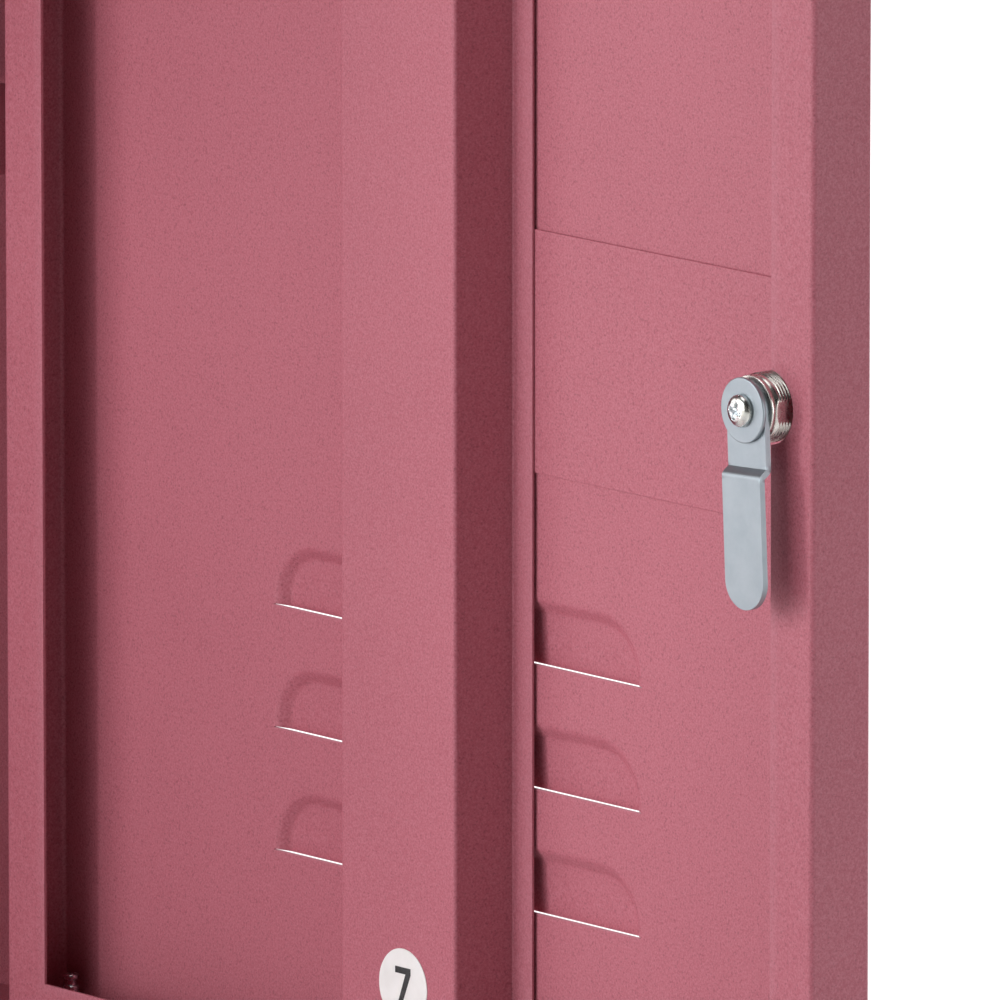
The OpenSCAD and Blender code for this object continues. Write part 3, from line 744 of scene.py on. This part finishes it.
def lock_nut():
    """A hexagon nut: the outline's radius is the flat's distance over the cosine of the angle
    from the nearest flat's middle, and the faces fall away outside the flats' circle."""
    steps = 96
    angle = np.linspace(0, 2 * math.pi, steps, endpoint=False)
    flat, bore, low, high = 12.0, BARREL_R + 0.05, SHEET + PLATE_T, SHEET + PLATE_T + 4.0
    hexagon = flat / np.cos((angle % (math.pi / 3)) - math.pi / 6)
    fall = (hexagon - flat) * math.tan(math.radians(30))
    ones = np.ones(steps)
    rings = [(bore * ones, low + 0.5 * ones), ((bore + 0.5) * ones, low * ones),
             (flat * ones, low * ones), (hexagon, low + fall), (hexagon, high - fall),
             (flat * ones, high * ones), ((bore + 0.5) * ones, high * ones),
             (bore * ones, high - 0.5 * ones), (bore * ones, low + 0.5 * ones)]
    grid = np.array([np.stack([r * np.cos(angle), r * np.sin(angle), h], -1) for r, h in rings])
    build("lock_nut_hexagon", grid.reshape(-1, 3), grid_faces(len(rings), steps, wrap=True),
          on_lock, "door", "nickel_plate", ["lock_nut"], bevel=0.1, bevel_angle=28, closed=True)


def rounded_ring(outer, inner, low, high, ease):
    """Profile of a ring with eased edges, closed on itself."""
    arc = np.radians(np.linspace(0, 90, 4))
    bottom = np.column_stack([outer - ease * (1 - np.sin(arc)), low + ease * (1 - np.cos(arc))])
    top = np.column_stack([outer - ease * (1 - np.cos(arc)), high - ease * (1 - np.sin(arc))])
    inner_ease = ease * 0.6
    inside = [(inner + inner_ease, high), (inner, high - inner_ease), (inner, low + inner_ease),
              (inner + inner_ease, low)]
    ring = np.concatenate([bottom, top, inside])
    return np.concatenate([ring, ring[:1]])


def stop_ring_and_washer():
    """The thin ring behind the cam, and the washer before it."""
    points, faces = turned(rounded_ring(9, 4.6, RING_W, RING_W + RING_T, 0.25), 96)
    build("stop_ring_turned", points, faces, on_plug, "lock_cylinder", "nickel_plate",
          ["stop_ring"], closed=True)
    low = CAM_Z + CAM_T
    points, faces = turned(rounded_ring(WASHER_R, 2.1, low, low + WASHER_T, 0.3), 96)
    build("cam_washer_stamped", points, faces, on_plug, "lock_cylinder", "satin_zinc",
          ["cam_washer"], closed=True)


def lock_cam():
    """The cam: a strip that steps outwards past its head and ends round at both ends.

    Along the strip the height is a smooth step over the joggle; the half width is the strip's,
    and within one half width of either end it follows the circle."""
    half = CAM_W / 2
    tip = CAM_LEN - half
    lengths = np.concatenate([-half * np.cos(np.radians(np.linspace(0, 90, 15)))[:-1],
                              np.linspace(0, JOGGLE_START - 1, 8)[:-1],
                              np.linspace(JOGGLE_START - 1, JOGGLE_END + 1, 19)[:-1],
                              np.linspace(JOGGLE_END + 1, tip, 14)[:-1],
                              tip + half * np.sin(np.radians(np.linspace(0, 90, 15)))])
    past = np.maximum(np.maximum(-lengths, lengths - tip), 0)
    width = np.sqrt(np.maximum(half ** 2 - past ** 2, 0))
    rise = JOGGLE * smooth_step((lengths - JOGGLE_START) / (JOGGLE_END - JOGGLE_START))
    across = np.linspace(-1, 1, 13)
    grid = np.stack([width[:, None] * across, np.broadcast_to(-lengths[:, None], (len(lengths), 13)),
                     np.broadcast_to((CAM_Z + CAM_T / 2 + rise)[:, None], (len(lengths), 13))], -1)
    build("lock_cam_pressed", grid.reshape(-1, 3), grid_faces(len(lengths), 13), on_plug,
          "lock_cylinder", "satin_zinc", ["lock_cam"], wall=CAM_T, bevel=0.4, bevel_angle=40)


def cam_screw():
    """A pan-head screw with a cross recess.

    The head's height over its radius is a flat crown with an elliptical shoulder; each slot of
    the cross sinks by a smooth step in from its sides and grows deeper towards the middle."""
    head_r, head_h, slot, reach, deep = 4.4, 2.6, 0.55, 2.55, 1.7
    steps = 96
    angle = np.linspace(0, 2 * math.pi, steps, endpoint=False)[None, :]
    radius = head_r * np.linspace(0, 1, 40)[:, None] ** 0.8
    crown = 0.6 + (head_h - 0.6) * np.maximum(1 - (radius / head_r) ** 3.2, 0) ** 0.5
    turn = angle + math.radians(20)
    along, beside = radius * np.cos(turn), radius * np.sin(turn)

    def arm(a, b):
        """Depth of the slot that runs along a, at a point that lies b to its side."""
        taper = slot * (1.15 - 0.35 * np.abs(a) / reach)
        sides = smooth_step((taper - np.abs(b)) / 0.22 + 0.5)
        return sides * smooth_step((reach - np.abs(a)) / 0.5) * deep * (1 - 0.5 * np.abs(a) / reach)

    top = crown - np.maximum(arm(along, beside), arm(beside, along))
    head = np.stack([radius * np.cos(angle), radius * np.sin(angle), top], -1)
    under = np.array([(head_r, 0.3), (head_r - 0.25, 0), (2.0, 0), (2.0, -7.4), (1.4, -8), (0, -8)])
    shank = np.stack([under[:, :1] * np.cos(angle), under[:, :1] * np.sin(angle),
                      np.broadcast_to(under[:, 1:], (len(under), steps))], -1)
    grid = np.concatenate([head, shank]) + (0, 0, CAM_Z + CAM_T + WASHER_T)
    build("cam_screw_cross", grid.reshape(-1, 3), grid_faces(len(grid), steps, wrap=True),
          on_plug, "lock_cylinder", "zinc_plate", ["cam_screw"], closed=True)


# ----------------------------------------------------------------------------- the cabinet

cabinet_low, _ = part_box("sill_rail")
_, cabinet_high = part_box("top_panel")
HALF_W = cabinet_high.x / MM
HALF_D = cabinet_high.y / MM
CABINET_H = cabinet_high.z / MM
OPENING_X = -cabinet_low.x / MM
JAMB_D, JAMB_LIP, JAMB_FLANGE = 28.4, 20.0, 27.0
RAIL_H, RAIL_D, STOP = 38.0, 25.2, 10.0
FOLD_R = 1.5


def cabinet_sheet(name, node, corners, start, end, order, wall, radius=FOLD_R):
    """One folded sheet of the cabinet, with eased edges."""
    points, faces, edge = folded_sheet(corners, radius, start, end, order)
    build(name, points, faces, in_cabinet, "cabinet", "powder_coat", [node], wall=wall,
          bevel=0.16, edge=edge)


def front_frame():
    """The two jambs and the two rails that the door closes into."""
    half = FRAME_SHEET / 2
    face = -HALF_D + half
    top = CABINET_H - SHEET
    inner = OPENING_X + half
    outer = HALF_W - SHEET - half
    back = -HALF_D + JAMB_D - half
    for name, side in (("left_jamb", -1), ("right_jamb", 1)):
        corners = [(side * outer, -HALF_D + JAMB_FLANGE), (side * outer, face),
                   (side * inner, face), (side * inner, back),
                   (side * (OPENING_X + JAMB_LIP), back)]
        cabinet_sheet(name + "_folded", name, corners, 0, top, (0, 1, 2), FRAME_SHEET)
    stop_y = -HALF_D + RAIL_D - half
    for name, foot, up in (("sill_rail", 0, 1), ("header_rail", CABINET_H, -1)):
        first = foot if up > 0 else foot - SHEET
        corners = [(face, first), (face, foot + up * (RAIL_H - half)),
                   (stop_y, foot + up * (RAIL_H - half)), (stop_y, foot + up * (RAIL_H + STOP))]
        cabinet_sheet(name + "_folded", name, corners, -OPENING_X, OPENING_X, (1, 2, 0), FRAME_SHEET)


def shelf():
    """The shelf, its front and back edges folded down and in again."""
    low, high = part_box("shelf")
    half = SHEET / 2
    front, back = low.y / MM + half, high.y / MM - half
    top, hem_z, hem = high.z / MM - half, low.z / MM + half, 9
    corners = [(front - half + hem, hem_z), (front, hem_z), (front, top), (back, top),
               (back, hem_z), (back + half - hem, hem_z)]
    cabinet_sheet("shelf_folded", "shelf", corners, low.x / MM, high.x / MM, (1, 2, 0), SHEET, 1.2)


def bushes():
    """Flanged nylon bushes with eased rims, one in each rail."""
    for name, up in (("lower_hinge_bush", 1), ("upper_hinge_bush", -1)):
        low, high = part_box(name)
        centre = (low + high) / 2 / MM
        top = (high.z - low.z) / 2 / MM
        flange, bore, collar, outer = 1.5, 2.25, 4.8, 3.6
        profile = [(bore, -top), (outer - 0.4, -top), (outer, -top + 0.4), (outer, top - flange),
                   (collar - 0.2, top - flange), (collar, top - flange + 0.2), (collar, top - 0.3),
                   (collar - 0.3, top), (bore + 0.3, top), (bore, top - 0.3), (bore, -top)]
        points, faces = turned(profile, 48)
        points = points * (1, 1, up) + (centre.x, centre.y, centre.z)
        build(name + "_moulded", points, faces, in_cabinet, "cabinet", "nylon", [name], closed=True)


# Every CAD node's finish; nodes that a new piece replaces keep theirs, unseen
FINISHES = {
    "powder_coat": powder_coat(),
    "zinc_plate": bright_zinc(),
    "satin_zinc": satin_zinc(),
    "nickel_plate": nickel_plate(),
    "black_rubber": rubber(),
    "nylon": nylon(),
    "white_label": vinyl("white_vinyl", (0.84, 0.83, 0.82), (0.90, 0.89, 0.885)),
}


def finish_nodes():
    """Gives each CAD node the finish of the slot that the record names for it."""
    for part in frame["record"]["subparts"]:
        mesh = frame["nodes"][part["node"]].data
        mesh.materials.clear()
        mesh.materials.append(FINISHES[part["material_slot"]])


make_camera()
make_light()
make_floor()
finish_nodes()
door_pan()
door_stiffener()
lock_plate()
hinge_pins()
number_disc()
lock_housing()
lock_nut()
stop_ring_and_washer()
lock_cam()
cam_screw()
front_frame()
shelf()
bushes()
